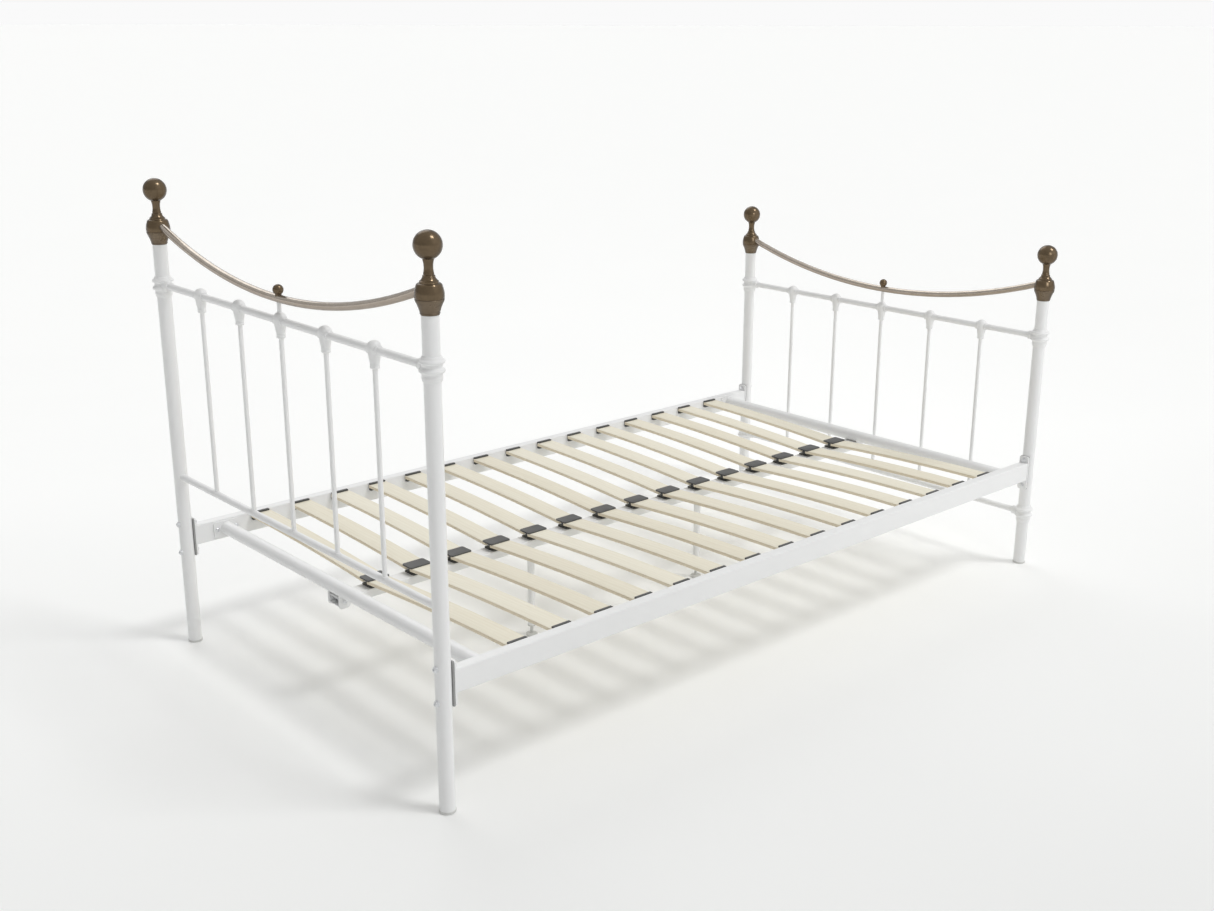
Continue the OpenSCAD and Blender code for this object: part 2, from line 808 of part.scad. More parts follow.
module rail_nuts() {
    color(zinc) for (sx = [-1, 1], sy = [-1, 1], z = bolt_zs)
        translate([sx * (half_l - plate_in), sy * half_w, z]) rotate([0, -90 * sx, 0]) nut();
}

module saddle_washers() {
    color(zinc) for (sx = [-1, 1], sy = [-1, 1], z = bolt_zs) saddle_washer(sx, sy, z);
}

module head_cross_rail() { color(white) cross_rail(-1); }
module foot_cross_rail() { color(white) cross_rail(1); }
module cross_flanges() { color(white) for (sx = [-1, 1], sy = [-1, 1]) cross_flange(sx, sy); }

module flange_screws() {
    color(zinc) for (sx = [-1, 1], sy = [-1, 1], s = [-1, 1]) flange_screw(sx, sy, s);
}

module centre_beam() { color(white) beam(); }
module beam_ears() { color(white) for (sx = [-1, 1], sy = [-1, 1]) ear(sx, sy); }
module ear_bolts() { color(zinc) for (sx = [-1, 1]) ear_bolt(sx); }

module ear_nuts() {
    color(zinc) for (sx = [-1, 1])
        translate([sx * cross_x, beam_width / 2 + ear_thick, beam_z])
            rotate([-90, 0, 0]) nut();
}

module leg_head_side() { color(white) leg(leg_head_x); }
module leg_foot_side() { color(white) leg(leg_foot_x); }
module leg_inserts() { color(pale_plastic) for (x = [leg_head_x, leg_foot_x]) leg_insert(x); }
module level_foot_head() { color(pale_plastic) level_foot(leg_head_x); }
module level_foot_foot() { color(pale_plastic) level_foot(leg_foot_x); }

module slats_front() { color(birch) slats(-1); }
module slats_back() { color(birch) slats(1); }
module side_holders_front() { color(charcoal) side_holders(-1); }
module side_holders_back() { color(charcoal) side_holders(1); }
module centre_holders() { color(charcoal) for (x = slat_xs()) centre_holder(x); }

head_post_front();
head_post_back();
foot_post_front();
foot_post_back();
post_glides();
head_finial_front();
head_finial_back();
foot_finial_front();
foot_finial_back();
finial_collars();
head_top_rail();
foot_top_rail();
head_rail_bead();
foot_rail_bead();
head_upper_bar();
head_lower_bar();
foot_upper_bar();
foot_lower_bar();
head_spindles();
foot_spindles();
head_stem();
foot_stem();
head_knuckles();
foot_knuckles();
head_post_castings();
foot_post_castings();
foot_low_castings();
side_rail_front();
side_rail_back();
rail_plates_front();
rail_plates_back();
plate_strips();
rail_bolts();
rail_nuts();
saddle_washers();
head_cross_rail();
foot_cross_rail();
cross_flanges();
flange_screws();
centre_beam();
beam_ears();
ear_bolts();
ear_nuts();
leg_head_side();
leg_foot_side();
leg_inserts();
level_foot_head();
level_foot_foot();
slats_front();
slats_back();
side_holders_front();
side_holders_back();
centre_holders();
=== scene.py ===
import json
import math

import bpy
from mathutils import Matrix, Vector


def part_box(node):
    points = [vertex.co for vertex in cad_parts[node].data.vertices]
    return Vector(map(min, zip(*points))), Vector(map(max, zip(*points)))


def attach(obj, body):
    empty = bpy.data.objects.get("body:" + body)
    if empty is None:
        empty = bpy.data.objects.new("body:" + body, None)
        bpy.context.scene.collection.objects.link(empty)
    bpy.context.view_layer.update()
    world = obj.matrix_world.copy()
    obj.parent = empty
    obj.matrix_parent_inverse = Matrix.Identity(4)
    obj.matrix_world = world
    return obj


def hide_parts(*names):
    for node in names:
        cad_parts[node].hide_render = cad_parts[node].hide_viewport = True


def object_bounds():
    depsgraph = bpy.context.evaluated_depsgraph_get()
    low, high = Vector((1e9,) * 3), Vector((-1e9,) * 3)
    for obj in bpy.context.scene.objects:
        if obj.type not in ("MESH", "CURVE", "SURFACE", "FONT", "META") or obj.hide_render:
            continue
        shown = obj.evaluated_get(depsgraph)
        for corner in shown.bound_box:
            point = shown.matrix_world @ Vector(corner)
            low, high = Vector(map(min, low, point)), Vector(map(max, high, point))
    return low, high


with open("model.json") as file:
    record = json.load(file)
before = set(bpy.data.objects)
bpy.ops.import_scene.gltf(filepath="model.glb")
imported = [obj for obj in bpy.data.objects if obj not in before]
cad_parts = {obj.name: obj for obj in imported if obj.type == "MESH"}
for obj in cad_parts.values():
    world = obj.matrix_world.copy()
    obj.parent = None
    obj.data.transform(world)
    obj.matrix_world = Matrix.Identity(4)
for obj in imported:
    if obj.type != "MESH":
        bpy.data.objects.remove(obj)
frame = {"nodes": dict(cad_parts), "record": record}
cad_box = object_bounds()

BODY = "bedstead"
MM = 0.001
nodes = frame["nodes"]


# ---------------------------------------------------------------- places taken from the frame

def middle(node):
    low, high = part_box(node)
    return (low + high) / 2


def size(node):
    low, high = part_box(node)
    return high - low


head_x = middle("head_post_front").x
foot_x = middle("foot_post_front").x
front_y = middle("head_post_front").y
back_y = middle("head_post_back").y
post_radius = size("head_post_front").x / 2
head_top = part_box("head_post_front")[1].z
foot_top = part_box("foot_post_front")[1].z
head_bar_z = middle("head_upper_bar").z
foot_bar_z = middle("foot_upper_bar").z
foot_low_z = middle("foot_lower_bar").z
head_low_z = middle("head_lower_bar").z
bar_radius = size("head_upper_bar").z / 2
rail_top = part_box("side_rail_front")[1].z
rail_face = -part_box("side_rail_front")[1].y
beam_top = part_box("centre_beam")[1].z

SLATS = 15
SLAT_WIDTH = 53 * MM
SLAT_THICK = 8 * MM
SLAT_BOW = 4 * MM
SIDE_LID = 4 * MM
MID_HEIGHT = 20 * MM
MID_LID = 3.5 * MM
SLAT_STEPS = 28
JOIN_DISTANCE = 0.01 * MM
slat_low, slat_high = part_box("slats_back")
slat_first = slat_low.x + SLAT_WIDTH / 2
slat_pitch = (slat_high.x - slat_low.x - SLAT_WIDTH) / (SLATS - 1)
slat_xs = [slat_first + i * slat_pitch for i in range(SLATS)]
SPINDLES = 5
SPINDLE_RADIUS = 5 * MM
spindle_low, spindle_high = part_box("head_spindles")
spindle_pitch = (spindle_high.y - spindle_low.y - 2 * SPINDLE_RADIUS) / (SPINDLES - 1)
spindle_ys = [(i - (SPINDLES - 1) / 2) * spindle_pitch for i in range(SPINDLES)]


# ---------------------------------------------------------------- node groups and materials

def new_group(name, inputs, outputs):
    group = bpy.data.node_groups.new(name, "ShaderNodeTree")
    for label, kind, value in inputs:
        socket = group.interface.new_socket(label, in_out="INPUT", socket_type=kind)
        socket.default_value = value
    for label, kind in outputs:
        group.interface.new_socket(label, in_out="OUTPUT", socket_type=kind)
    start = group.nodes.new("NodeGroupInput")
    end = group.nodes.new("NodeGroupOutput")
    return group, start, end


def add(tree, kind, **settings):
    node = tree.nodes.new(kind)
    for key, value in settings.items():
        if key in node.inputs:
            node.inputs[key].default_value = value
        else:
            setattr(node, key, value)
    return node


def noise(tree, vector, scale, detail=3.0, rough=0.5):
    node = tree.nodes.new("ShaderNodeTexNoise")
    node.inputs["Detail"].default_value = detail
    node.inputs["Roughness"].default_value = rough
    if isinstance(scale, (int, float)):
        node.inputs["Scale"].default_value = scale
    else:
        tree.links.new(scale, node.inputs["Scale"])
    tree.links.new(vector, node.inputs["Vector"])
    return node.outputs["Fac"]


def remap(tree, value, low, high, to_low=0.0, to_high=1.0):
    node = tree.nodes.new("ShaderNodeMapRange")
    node.inputs["From Min"].default_value = low
    node.inputs["From Max"].default_value = high
    node.inputs["To Min"].default_value = to_low
    node.inputs["To Max"].default_value = to_high
    tree.links.new(value, node.inputs["Value"])
    return node.outputs["Result"]


def calc(tree, operation, first, second):
    node = tree.nodes.new("ShaderNodeMath")
    node.operation = operation
    for socket, value in zip(node.inputs, (first, second)):
        if isinstance(value, (int, float)):
            socket.default_value = value
        else:
            tree.links.new(value, socket)
    return node.outputs[0]


def blend_colour(tree, factor, first, second, mode="MIX"):
    node = tree.nodes.new("ShaderNodeMix")
    node.data_type = "RGBA"
    node.blend_type = mode
    if isinstance(factor, (int, float)):
        node.inputs["Factor"].default_value = factor
    else:
        tree.links.new(factor, node.inputs["Factor"])
    for socket, value in ((node.inputs[6], first), (node.inputs[7], second)):
        if isinstance(value, tuple):
            socket.default_value = value if len(value) == 4 else (*value, 1.0)
        else:
            tree.links.new(value, socket)
    return node.outputs[2]


def build_surface_group():
    """Soft mottling, fine scuffs and a little dust from above, as masks."""
    group, start, end = new_group(
        "surface_age",
        [("Vector", "NodeSocketVector", (0, 0, 0)), ("Mottle scale", "NodeSocketFloat", 9.0),
         ("Scuff scale", "NodeSocketFloat", 60.0)],
        [("Mottle", "NodeSocketFloat"), ("Scuffs", "NodeSocketFloat"),
         ("Dust", "NodeSocketFloat"), ("Grit", "NodeSocketFloat")])
    vector = start.outputs["Vector"]
    mottle = noise(group, vector, start.outputs["Mottle scale"], 4.0, 0.55)
    group.links.new(remap(group, mottle, 0.3, 0.7), end.inputs["Mottle"])
    stretch = add(group, "ShaderNodeMapping")
    stretch.inputs["Scale"].default_value = (1.0, 3.2, 0.5)
    stretch.inputs["Rotation"].default_value = (0.3, 0.5, 0.9)
    group.links.new(vector, stretch.inputs["Vector"])
    scuff = noise(group, stretch.outputs["Vector"], start.outputs["Scuff scale"], 6.0, 0.7)
    group.links.new(remap(group, scuff, 0.62, 0.78), end.inputs["Scuffs"])
    normal = add(group, "ShaderNodeNewGeometry")
    split = add(group, "ShaderNodeSeparateXYZ")
    group.links.new(normal.outputs["Normal"], split.inputs["Vector"])
    upward = remap(group, split.outputs["Z"], 0.35, 1.0)
    speck = noise(group, vector, 35.0, 5.0, 0.6)
    group.links.new(calc(group, "MULTIPLY", upward, remap(group, speck, 0.42, 0.66)),
                    end.inputs["Dust"])
    group.links.new(noise(group, vector, 900.0, 2.0, 0.5), end.inputs["Grit"])
    return group


def build_coat_group():
    """The slight pebbled skin of powder coat as a height."""
    group, start, end = new_group(
        "powder_skin",
        [("Vector", "NodeSocketVector", (0, 0, 0)), ("Scale", "NodeSocketFloat", 420.0)],
        [("Height", "NodeSocketFloat")])
    coarse = noise(group, start.outputs["Vector"], start.outputs["Scale"], 2.0, 0.4)
    wide = noise(group, start.outputs["Vector"], 70.0, 2.0, 0.4)
    mixed = calc(group, "ADD", calc(group, "MULTIPLY", coarse, 0.7),
                 calc(group, "MULTIPLY", wide, 0.3))
    group.links.new(mixed, end.inputs["Height"])
    return group


def build_grain_group():
    """Pale wood: a tone for each slat, long grain lines, pores and a cloudy figure."""
    group, start, end = new_group(
        "slat_grain",
        [("Vector", "NodeSocketVector", (0, 0, 0)), ("Pitch", "NodeSocketFloat", slat_pitch),
         ("First", "NodeSocketFloat", slat_first), ("Light", "NodeSocketColor", (1, 1, 1, 1)),
         ("Dark", "NodeSocketColor", (0, 0, 0, 1))],
        [("Color", "NodeSocketColor"), ("Height", "NodeSocketFloat"),
         ("Tone", "NodeSocketFloat")])
    split = add(group, "ShaderNodeSeparateXYZ")
    group.links.new(start.outputs["Vector"], split.inputs["Vector"])
    number = calc(group, "ROUND",
                  calc(group, "DIVIDE",
                       calc(group, "SUBTRACT", split.outputs["X"], start.outputs["First"]),
                       start.outputs["Pitch"]), 0.0)
    side = calc(group, "GREATER_THAN", split.outputs["Y"], 0.0)
    which = calc(group, "ADD", number, calc(group, "MULTIPLY", side, 31.0))
    draw = add(group, "ShaderNodeTexWhiteNoise", noise_dimensions="1D")
    group.links.new(which, draw.inputs["W"])
    shifted = add(group, "ShaderNodeCombineXYZ")
    group.links.new(calc(group, "ADD", split.outputs["X"], calc(group, "MULTIPLY", which, 3.7)),
                    shifted.inputs["X"])
    group.links.new(split.outputs["Y"], shifted.inputs["Y"])
    group.links.new(split.outputs["Z"], shifted.inputs["Z"])
    along = add(group, "ShaderNodeMapping")
    along.inputs["Scale"].default_value = (26.0, 1.3, 26.0)
    group.links.new(shifted.outputs["Vector"], along.inputs["Vector"])
    lines = noise(group, along.outputs["Vector"], 5.0, 7.0, 0.62)
    figure = add(group, "ShaderNodeMapping")
    figure.inputs["Scale"].default_value = (14.0, 0.9, 8.0)
    group.links.new(shifted.outputs["Vector"], figure.inputs["Vector"])
    cathedral = add(group, "ShaderNodeTexWave", wave_type="BANDS", bands_direction="X")
    cathedral.inputs["Scale"].default_value = 2.2
    cathedral.inputs["Distortion"].default_value = 5.5
    cathedral.inputs["Detail"].default_value = 3.0
    cathedral.inputs["Detail Scale"].default_value = 1.4
    group.links.new(figure.outputs["Vector"], cathedral.inputs["Vector"])
    pores = add(group, "ShaderNodeMapping")
    pores.inputs["Scale"].default_value = (420.0, 16.0, 420.0)
    group.links.new(shifted.outputs["Vector"], pores.inputs["Vector"])
    pits = remap(group, noise(group, pores.outputs["Vector"], 1.0, 3.0, 0.6), 0.58, 0.74)
    tone = calc(group, "ADD",
                calc(group, "ADD", calc(group, "MULTIPLY", draw.outputs["Value"], 0.40),
                     calc(group, "MULTIPLY", remap(group, lines, 0.3, 0.7), 0.30)),
                calc(group, "ADD", calc(group, "MULTIPLY", cathedral.outputs["Fac"], 0.16),
                     calc(group, "MULTIPLY", pits, 0.18)))
    colour = blend_colour(group, tone, (1, 1, 1), (0, 0, 0))
    mix = colour.node
    group.links.new(start.outputs["Light"], mix.inputs[6])
    group.links.new(start.outputs["Dark"], mix.inputs[7])
    group.links.new(colour, end.inputs["Color"])
    group.links.new(calc(group, "SUBTRACT", calc(group, "MULTIPLY", lines, 0.6), pits),
                    end.inputs["Height"])
    group.links.new(tone, end.inputs["Tone"])
    return group


surface_group = build_surface_group()
coat_group = build_coat_group()
grain_group = build_grain_group()


def new_material(name, rough, metallic=0.0, specular=0.5):
    material = bpy.data.materials.new(name)
    material.use_nodes = True
    tree = material.node_tree
    shader = tree.nodes["Principled BSDF"]
    shader.inputs["Roughness"].default_value = rough
    shader.inputs["Metallic"].default_value = metallic
    shader.inputs["Specular IOR Level"].default_value = specular
    place = add(tree, "ShaderNodeTexCoord")
    return material, tree, shader, place.outputs["Object"]


def use_group(tree, group, vector, **values):
    node = tree.nodes.new("ShaderNodeGroup")
    node.node_tree = group
    for label, value in values.items():
        node.inputs[label.replace("_", " ")].default_value = value
    tree.links.new(vector, node.inputs["Vector"])
    return node


def bump(tree, shader, height, strength, distance):
    node = tree.nodes.new("ShaderNodeBump")
    node.inputs["Strength"].default_value = strength
    node.inputs["Distance"].default_value = distance
    tree.links.new(height, node.inputs["Height"])
    tree.links.new(node.outputs["Normal"], shader.inputs["Normal"])


def coated(name, base, shade, rough, skin=0.10, specular=0.45):
    """Powder coat: mottled, a little dusty from above, with a pebbled skin."""
    material, tree, shader, vector = new_material(name, rough, specular=specular)
    age = use_group(tree, surface_group, vector, Mottle_scale=6.0, Scuff_scale=90.0)
    tone = blend_colour(tree, calc(tree, "MULTIPLY", age.outputs["Mottle"], 0.35), base, shade)
    dusty = blend_colour(tree, calc(tree, "MULTIPLY", age.outputs["Dust"], 0.10), tone,
                         (0.62, 0.60, 0.55))
    tree.links.new(dusty, shader.inputs["Base Color"])
    tree.links.new(remap(tree, age.outputs["Mottle"], 0.0, 1.0, rough - 0.04, rough + 0.07),
                   shader.inputs["Roughness"])
    grain = use_group(tree, coat_group, vector, Scale=420.0)
    bump(tree, shader, grain.outputs["Height"], skin, 0.0006)
    return material


def bronze(name, base, shade, worn, rough, metallic, rim_shade_colour, rim_from=0.25, rim_to=0.80,
           spread=0.06, specular=0.35, painted_underside_shade=0.15):
    """Bronzed metal with painted shade: it darkens towards its outline and on faces that look
    down.
    """
    material, tree, shader, vector = new_material(name, rough, metallic, specular)
    age = use_group(tree, surface_group, vector, Mottle_scale=40.0, Scuff_scale=150.0)
    tone = blend_colour(tree, age.outputs["Mottle"], base, shade)
    rubbed = blend_colour(tree, calc(tree, "MULTIPLY", age.outputs["Scuffs"], 0.35), tone, worn)
    # Painted shade: the colour darkens towards the outline, where the surface turns away from
    # the view.
    rim = add(tree, "ShaderNodeLayerWeight", Blend=0.5)
    shadow = remap(tree, rim.outputs["Facing"], rim_from, rim_to, 0.0, 0.85)
    toned = blend_colour(tree, shadow, rubbed, rim_shade_colour)
    facing = add(tree, "ShaderNodeNewGeometry")
    axes = add(tree, "ShaderNodeSeparateXYZ")
    tree.links.new(facing.outputs["Normal"], axes.inputs["Vector"])
    # Painted shade: faces that look down are darkened.
    below = remap(tree, axes.outputs["Z"], -0.1, 0.5, painted_underside_shade, 0.0)
    underside_darkened = blend_colour(tree, below, toned, tuple(1.8 * c for c in rim_shade_colour))
    tree.links.new(underside_darkened, shader.inputs["Base Color"])
    tree.links.new(remap(tree, age.outputs["Mottle"], 0.0, 1.0, rough - spread, rough + spread),
                   shader.inputs["Roughness"])
    bump(tree, shader, age.outputs["Grit"], 0.05, 0.0003)
    return material


def plastic(name, base, shade, rough):
    """Moulded plastic with pale scuffs."""
    material, tree, shader, vector = new_material(name, rough)
    age = use_group(tree, surface_group, vector, Mottle_scale=50.0, Scuff_scale=220.0)
    tone = blend_colour(tree, age.outputs["Mottle"], base, shade)
    pale = tuple(min(1.0, c * 1.8 + 0.02) for c in base)
    scuffed = blend_colour(tree, calc(tree, "MULTIPLY", age.outputs["Scuffs"], 0.5), tone, pale)
    tree.links.new(scuffed, shader.inputs["Base Color"])
    tree.links.new(remap(tree, age.outputs["Scuffs"], 0.0, 1.0, rough, rough + 0.15),
                   shader.inputs["Roughness"])
    bump(tree, shader, age.outputs["Grit"], 0.25, 0.0004)
    return material


def plated(name, base, shade, rough):
    """Plated steel that is rougher where it is scuffed."""
    material, tree, shader, vector = new_material(name, rough, metallic=1.0)
    age = use_group(tree, surface_group, vector, Mottle_scale=120.0, Scuff_scale=400.0)
    tree.links.new(blend_colour(tree, age.outputs["Mottle"], base, shade),
                   shader.inputs["Base Color"])
    tree.links.new(remap(tree, age.outputs["Scuffs"], 0.0, 1.0, rough, rough + 0.2),
                   shader.inputs["Roughness"])
    bump(tree, shader, age.outputs["Grit"], 0.08, 0.0003)
    return material


def wood(name, light, dark, rough, plies):
    """Slat wood, with dark glue lines between plies where plies is true."""
    material, tree, shader, vector = new_material(name, rough, specular=0.35)
    grain = use_group(tree, grain_group, vector)
    grain.inputs["Light"].default_value = (*light, 1.0)
    grain.inputs["Dark"].default_value = (*dark, 1.0)
    colour = grain.outputs["Color"]
    if plies:
        layer = add(tree, "ShaderNodeAttribute", attribute_name="ply")
        bands = calc(tree, "PINGPONG", calc(tree, "MULTIPLY", layer.outputs["Fac"], 3.5), 0.5)
        line = remap(tree, bands, 0.0, 0.10, 1.0, 0.0)
        colour = blend_colour(tree, calc(tree, "MULTIPLY", line, 0.30), colour,
                              (0.34, 0.23, 0.12))
    tree.links.new(colour, shader.inputs["Base Color"])
    tree.links.new(remap(tree, grain.outputs["Tone"], 0.0, 1.0, rough - 0.05, rough + 0.12),
                   shader.inputs["Roughness"])
    bump(tree, shader, grain.outputs["Height"], 0.16, 0.0005)
    return material


white_coat = coated("white_coat", (0.86, 0.863, 0.86), (0.81, 0.814, 0.812), 0.34)
# Each bronze carries painted shade at its outline and on faces that look down; the dipped rails
# carry the most.
dark_bronze = bronze("dark_bronze", (0.190, 0.135, 0.080), (0.140, 0.100, 0.058),
                     (0.26, 0.19, 0.12), 0.20, 0.55, (0.030, 0.020, 0.011), 0.30, 0.90)
collar_bronze = bronze("bronze_collar", (0.215, 0.165, 0.112), (0.165, 0.125, 0.085),
                       (0.28, 0.22, 0.15), 0.30, 0.5, (0.045, 0.032, 0.020))
satin_bronze = bronze("satin_bronze", (0.70, 0.63, 0.55), (0.60, 0.53, 0.45),
                      (0.80, 0.73, 0.65), 0.20, 0.8, (0.14, 0.11, 0.085), 0.42, 0.94,
                      painted_underside_shade=0.62)
birch = wood("birch", (0.87, 0.835, 0.705), (0.74, 0.680, 0.535), 0.52, plies=False)
birch_edge = wood("birch_edge", (0.88, 0.80, 0.63), (0.76, 0.66, 0.49), 0.6, plies=True)
holder_black = plastic("holder_plastic", (0.050, 0.050, 0.048), (0.070, 0.070, 0.067), 0.45)
# The spacer strip between post and rail plate is real, but its grey is painted shade for the
# shadowed gap there.
spacer_and_gap_shade = plastic("strip_plastic", (0.34, 0.34, 0.336), (0.38, 0.38, 0.376), 0.5)
pale_plastic = plastic("pale_plastic", (0.70, 0.70, 0.68), (0.62, 0.62, 0.60), 0.5)
zinc = plated("zinc", (0.84, 0.85, 0.86), (0.74, 0.75, 0.77), 0.36)

SLOT_MATERIALS = {
    "white_coat": white_coat, "dark_bronze": dark_bronze, "bronze_collar": collar_bronze,
    "satin_bronze": satin_bronze, "birch": birch, "holder_plastic": holder_black,
    "strip_plastic": spacer_and_gap_shade, "zinc": zinc, "pale_plastic": pale_plastic}

for part in frame["record"]["subparts"]:
    mesh_object = nodes[part["node"]]
    for socket in mesh_object.material_slots:
        socket.material = SLOT_MATERIALS[part["material_slot"]]


# ---------------------------------------------------------------- modelling

def deselect():
    if bpy.context.object and bpy.context.object.mode != "OBJECT":
        bpy.ops.object.mode_set(mode="OBJECT")
    bpy.ops.object.select_all(action="DESELECT")


def pick(piece):
    deselect()
    piece.select_set(True)
    bpy.context.view_layer.objects.active = piece


def to_edit(mode="FACE"):
    bpy.ops.object.mode_set(mode="EDIT")
    bpy.ops.mesh.select_mode(type=mode)


def to_object():
    bpy.ops.object.mode_set(mode="OBJECT")


def select_where(piece, kind, test):
    """Selects the faces, edges or vertices that pass a test on their middle and normal."""
    mesh = piece.data
    to_object()
    mesh.polygons.foreach_set("select", [False] * len(mesh.polygons))
    mesh.edges.foreach_set("select", [False] * len(mesh.edges))
    mesh.vertices.foreach_set("select", [False] * len(mesh.vertices))
    if kind == "FACE":
        for face in mesh.polygons:
            face.select = test(face.center, face.normal)
    elif kind == "EDGE":
        for edge in mesh.edges:
            ends = [mesh.vertices[i].co for i in edge.vertices]
            edge.select = test((ends[0] + ends[1]) / 2, (ends[1] - ends[0]).normalized())
    else:
        for vertex in mesh.vertices:
            vertex.select = test(vertex.co, None)
    to_edit(kind)


def apply_place(piece):
    pick(piece)
    bpy.ops.object.transform_apply(location=True, rotation=True, scale=True)


def soften(piece, width, segments=2, angle=35):
    pick(piece)
    bevel = piece.modifiers.new("soft_edges", "BEVEL")
    bevel.width = width
    bevel.segments = segments
    bevel.limit_method = "ANGLE"
    bevel.angle_limit = math.radians(angle)
    bpy.ops.object.modifier_apply(modifier=bevel.name)


def shade(piece, angle=35):
    pick(piece)
    bpy.ops.object.shade_smooth_by_angle(angle=math.radians(angle))


def arc(radius, height, bend, start, stop, steps):
    """Stations round part of a circle of radius bend, between two angles in degrees."""
    points = []
    for i in range(steps + 1):
        angle = math.radians(start + (stop - start) * i / steps)
        points.append((radius + bend * math.cos(angle), height + bend * math.sin(angle)))
    return points


def turned(name, stations, place, sides=48, ring=False, turn_by=None):
    """A turned piece: a circle is drawn out and widened or narrowed station by station."""
    deselect()
    radius, height = stations[0]
    bpy.ops.mesh.primitive_circle_add(
        vertices=sides, radius=radius, location=(0, 0, height),
        fill_type="NOTHING" if ring else "NGON")
    piece = bpy.context.object
    piece.name = name
    bpy.ops.object.transform_apply(location=True, rotation=False, scale=False)
    to_edit("EDGE")
    for next_radius, next_height in stations[1:]:
        bpy.ops.mesh.extrude_region_move(
            TRANSFORM_OT_translate={"value": (0, 0, next_height - height)})
        factor = next_radius / radius
        bpy.ops.transform.resize(value=(factor, factor, 1.0),
                                 center_override=(0, 0, next_height))
        radius, height = next_radius, next_height
    bpy.ops.mesh.select_all(action="SELECT")
    bpy.ops.mesh.remove_doubles(threshold=JOIN_DISTANCE)
    bpy.ops.mesh.normals_make_consistent(inside=False)
    to_object()
    if turn_by:
        piece.rotation_euler = turn_by
    piece.location = place
    apply_place(piece)
    return piece


def copy_of(piece, name, move=(0, 0, 0), mirror=None):
    """A copy with its own mesh, mirrored first and then moved."""
    twin = piece.copy()
    twin.data = piece.data.copy()
    twin.name = name
    bpy.context.scene.collection.objects.link(twin)
    if mirror:
        twin.data.transform(Matrix.Diagonal((*mirror, 1.0)))
        twin.data.flip_normals()
    twin.data.transform(Matrix.Translation(Vector(move)))
    return twin


def finish(piece, material, replaced=(), body=BODY):
    """Gives a piece its material, body, slot and the nodes that it replaces."""
    if not piece.data.materials:
        piece.data.materials.append(material)
    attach(piece, body)
    if replaced:
        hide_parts(*replaced)


def scaled(points):
    """Radii and heights given in millimetres, in metres."""
    return [(r * MM, z * MM) for r, z in points]


# ---------------------------------------------------------------- slats

def make_slat():
    """One bowed slat of the back row, spun from its end face, at x = 0."""
    out_y = slat_high.y
    in_y = slat_low.y
    lid_z = rail_top - SIDE_LID - SLAT_THICK / 2
    mid_z = beam_top + MID_HEIGHT - MID_LID - SLAT_THICK / 2
    chord = math.hypot(out_y - in_y, lid_z - mid_z)
    tilt = math.atan2(lid_z - mid_z, out_y - in_y)
    radius = (chord * chord / 4 + SLAT_BOW * SLAT_BOW) / (2 * SLAT_BOW)
    half = math.asin(chord / 2 / radius)
    centre = Vector(((out_y + in_y) / 2, (lid_z + mid_z) / 2))
    centre += Vector((-math.sin(tilt), math.cos(tilt))) * (SLAT_BOW - radius)
    top = math.pi / 2 + tilt
    start = top - half
    deselect()
    bpy.ops.mesh.primitive_cube_add(size=1.0, location=(0, 0, 0))
    slat = bpy.context.object
    slat.name = "slat_pattern"
    slat.scale = (SLAT_WIDTH, MM, SLAT_THICK)
    bpy.ops.object.transform_apply(location=False, rotation=False, scale=True)
    select_where(slat, "FACE", lambda c, n: n.y < 0.9)
    bpy.ops.mesh.delete(type="ONLY_FACE")
    select_where(slat, "VERT", lambda c, n: c.y < 0)
    bpy.ops.mesh.delete(type="VERT")
    to_object()
    slat.data.transform(Matrix.Rotation(start - math.pi / 2, 4, "X"))
    slat.data.transform(Matrix.Translation(
        (0, centre.x + radius * math.cos(start), centre.y + radius * math.sin(start))))
    pick(slat)
    to_edit("FACE")
    bpy.ops.mesh.select_all(action="SELECT")
    bpy.ops.mesh.spin(steps=SLAT_STEPS, angle=-2 * half, center=(0, centre.x, centre.y),
                      axis=(1, 0, 0), use_normal_flip=False)
    to_object()
    to_edit("FACE")
    bpy.ops.mesh.select_all(action="SELECT")
    bpy.ops.mesh.remove_doubles(threshold=JOIN_DISTANCE)
    to_object()
    close_open_ends(slat)
    return slat, centre, radius


def close_open_ends(piece):
    """Fills the open ends of a swept or turned form."""
    pick(piece)
    to_edit("EDGE")
    bpy.ops.mesh.select_all(action="DESELECT")
    bpy.ops.mesh.select_non_manifold()
    bpy.ops.mesh.edge_face_add()
    bpy.ops.mesh.select_all(action="SELECT")
    bpy.ops.mesh.normals_make_consistent(inside=False)
    to_object()


def finish_slat(slat, centre, radius):
    """Rounds the corners, marks the cut edges and stores the depth in the plies."""
    corners = 3.0 * MM
    out_y, in_y = slat_high.y, slat_low.y
    select_where(slat, "EDGE", lambda c, d: abs(d.x) < 0.1 and abs(d.y) < 0.3
                 and abs(abs(c.x) - SLAT_WIDTH / 2) < 1e-4
                 and (abs(c.y - out_y) < 2 * MM or abs(c.y - in_y) < 2 * MM))
    bpy.ops.mesh.bevel(offset=corners, segments=4, affect="EDGES")
    to_object()
    soften(slat, 1.0 * MM, 2, 40)
    mesh = slat.data
    mesh.materials.append(birch)
    mesh.materials.append(birch_edge)
    for face in mesh.polygons:
        face.material_index = 1 if abs(face.normal.z) < 0.45 else 0
    ply = mesh.attributes.new("ply", "FLOAT", "POINT")
    centre3 = Vector((0, centre.x, centre.y))
    values = []
    for vertex in mesh.vertices:
        reach = math.hypot(vertex.co.y - centre3.y, vertex.co.z - centre3.z) - radius
        values.append(reach / SLAT_THICK + 0.5)
    ply.data.foreach_set("value", values)
    shade(slat, 40)


